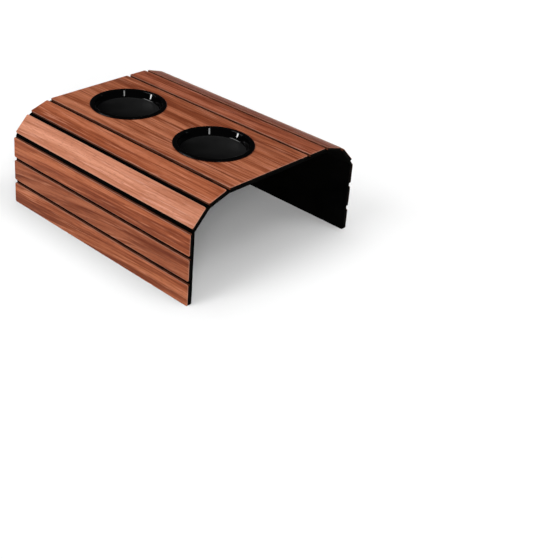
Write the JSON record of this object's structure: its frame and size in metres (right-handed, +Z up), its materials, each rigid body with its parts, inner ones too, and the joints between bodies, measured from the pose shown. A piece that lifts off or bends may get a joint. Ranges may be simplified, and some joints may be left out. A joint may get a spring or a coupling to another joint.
{
  "type": "sofa arm tray",
  "caption": "Roll-up slatted wooden mat on a flexible black backing sheet, draped as an upside-down U over a sofa arm, with round black cup holders let into its wide top slat.",
  "frame": {"origin": "on the ground, under the middle of the draped mat's bounding box", "axes": "+Z up; Y along the slats, which is along the sofa arm; X across the arm, with the level slat beside the deck on the +X side"},
  "size_m": [0.2598, 0.3, 0.1224],
  "materials": {
    "slat_wood": "satin reddish-brown wood print on thin board, with fine dark grain along the slats",
    "backing": "matt black flexible sheet",
    "cup_plastic": "gloss black moulded plastic"
  },
  "bodies": {
    "root": {"backing_sheet": "backing", "deck_slat": "slat_wood", "left_slat_1": "slat_wood", "left_slat_2": "slat_wood", "left_slat_3": "slat_wood", "left_slat_4": "slat_wood", "left_slat_5": "slat_wood", "right_slat_1": "slat_wood", "right_slat_2": "slat_wood", "right_slat_3": "slat_wood", "right_slat_4": "slat_wood", "right_slat_5": "slat_wood", "right_slat_6": "slat_wood", "front_cup_holder": "cup_plastic", "rear_cup_holder": "cup_plastic"}
  },
  "joints": []
}
